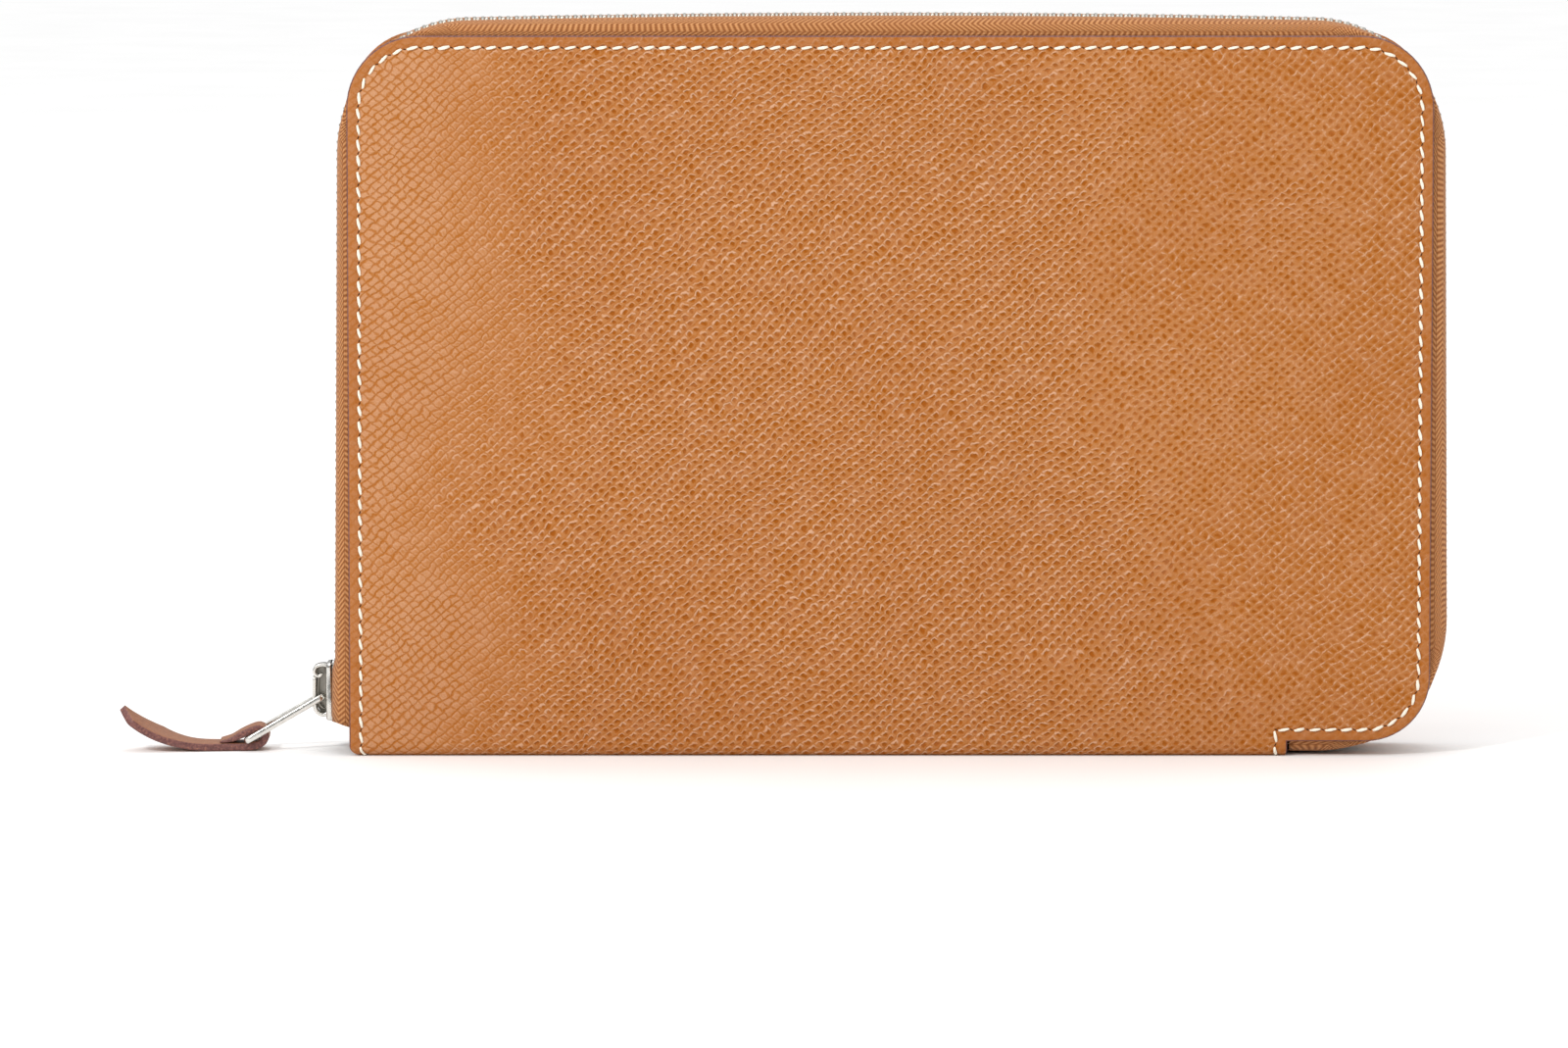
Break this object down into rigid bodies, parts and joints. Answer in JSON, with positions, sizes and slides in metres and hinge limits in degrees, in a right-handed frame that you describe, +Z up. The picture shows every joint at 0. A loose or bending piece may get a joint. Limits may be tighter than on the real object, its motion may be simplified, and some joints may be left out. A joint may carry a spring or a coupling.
{
  "type": "zip around wallet",
  "caption": "Zip-around leather wallet: two covers fold out from a spine once a running zip is opened; card slots, a bill pocket and a zipped coin pocket inside.",
  "frame": {"origin": "middle of the spine's flat underside, which the closed wallet stands on", "axes": "+X along the spine towards the end where the zip begins, +Y from the front cover to the back cover, +Z up from the spine to the zipped edge opposite"},
  "size_m": [0.259, 0.022, 0.144],
  "materials": {
    "outer_leather": "tan leather embossed with a fine diamond grain, satin",
    "inner_leather": "smooth tan split leather, matt",
    "stiffener": "bonded leather fibreboard, hidden",
    "lining_cloth": "woven lining cloth",
    "zip_tape": "herringbone woven polyester tape, matt",
    "nickel": "polished nickel"
  },
  "bodies": {
    "spine": {"spine_leather": "outer_leather", "spine_board": "stiffener", "spine_lining": "inner_leather", "front_fold_strip": "outer_leather", "back_fold_strip": "outer_leather"},
    "front_cover": {"front_leather": "outer_leather", "front_board": "stiffener", "front_lining": "inner_leather", "front_slip_pocket": "inner_leather", "card_pocket_1": "inner_leather", "card_pocket_2": "inner_leather", "card_pocket_3": "inner_leather", "card_pocket_4": "inner_leather", "front_zip_tape": "zip_tape", "front_teeth": "nickel", "front_bottom_stop": "nickel"},
    "back_cover": {"back_leather": "outer_leather", "back_board": "stiffener", "back_lining": "inner_leather", "coin_pocket_bag": "lining_cloth", "coin_pocket_front": "inner_leather", "bill_pocket": "inner_leather", "back_zip_tape": "zip_tape", "back_teeth": "nickel", "back_bottom_stop": "nickel", "back_top_stop": "nickel", "coin_tape_lower": "zip_tape", "coin_tape_upper": "zip_tape", "coin_teeth_lower": "nickel", "coin_teeth_upper": "nickel", "coin_stop_left": "nickel", "coin_stop_right": "nickel"},
    "zip_slider": {"slider_body": "nickel", "slider_cap": "nickel", "slider_lock_spring": "nickel"},
    "pull_wire": {"pull_loop": "nickel"},
    "pull_leather": {"pull_tab": "outer_leather"},
    "coin_slider": {"coin_slider_body": "nickel", "coin_slider_cap": "nickel"},
    "coin_ring": {"coin_pull": "nickel"}
  },
  "joints": [
    {"name": "front_cover_fold", "type": "hinge", "parent": "spine", "child": "front_cover", "pos_m": [0, -0.0086, 0.0024], "axis": [1, 0, 0], "range_deg": [0, 90], "deforming": ["front_fold_strip"]},
    {"name": "back_cover_fold", "type": "hinge", "parent": "spine", "child": "back_cover", "pos_m": [0, 0.0086, 0.0024], "axis": [-1, 0, 0], "range_deg": [0, 90], "deforming": ["back_fold_strip"]},
    {"name": "zip_slider_run", "type": "slide", "parent": "back_cover", "child": "zip_slider", "axis": [0.009, 0, 1], "range_m": [0, 0.095]},
    {"name": "pull_loop_swing", "type": "hinge", "parent": "zip_slider", "child": "pull_wire", "pos_m": [-0.1106, 0, 0.0106], "axis": [0, 1, 0], "range_deg": [-54, 85]},
    {"name": "pull_tab_swing", "type": "hinge", "parent": "pull_wire", "child": "pull_leather", "pos_m": [-0.1253, 0, 0.00215], "axis": [0, -1, 0], "range_deg": [-100, 100]},
    {"name": "coin_slider_run", "type": "slide", "parent": "back_cover", "child": "coin_slider", "axis": [1, 0, 0], "range_m": [0, 0.138]},
    {"name": "coin_pull_swing", "type": "hinge", "parent": "coin_slider", "child": "coin_ring", "pos_m": [-0.069, 0.004, 0.113], "axis": [0, 0, -1], "range_deg": [0, 180]}
  ]
}
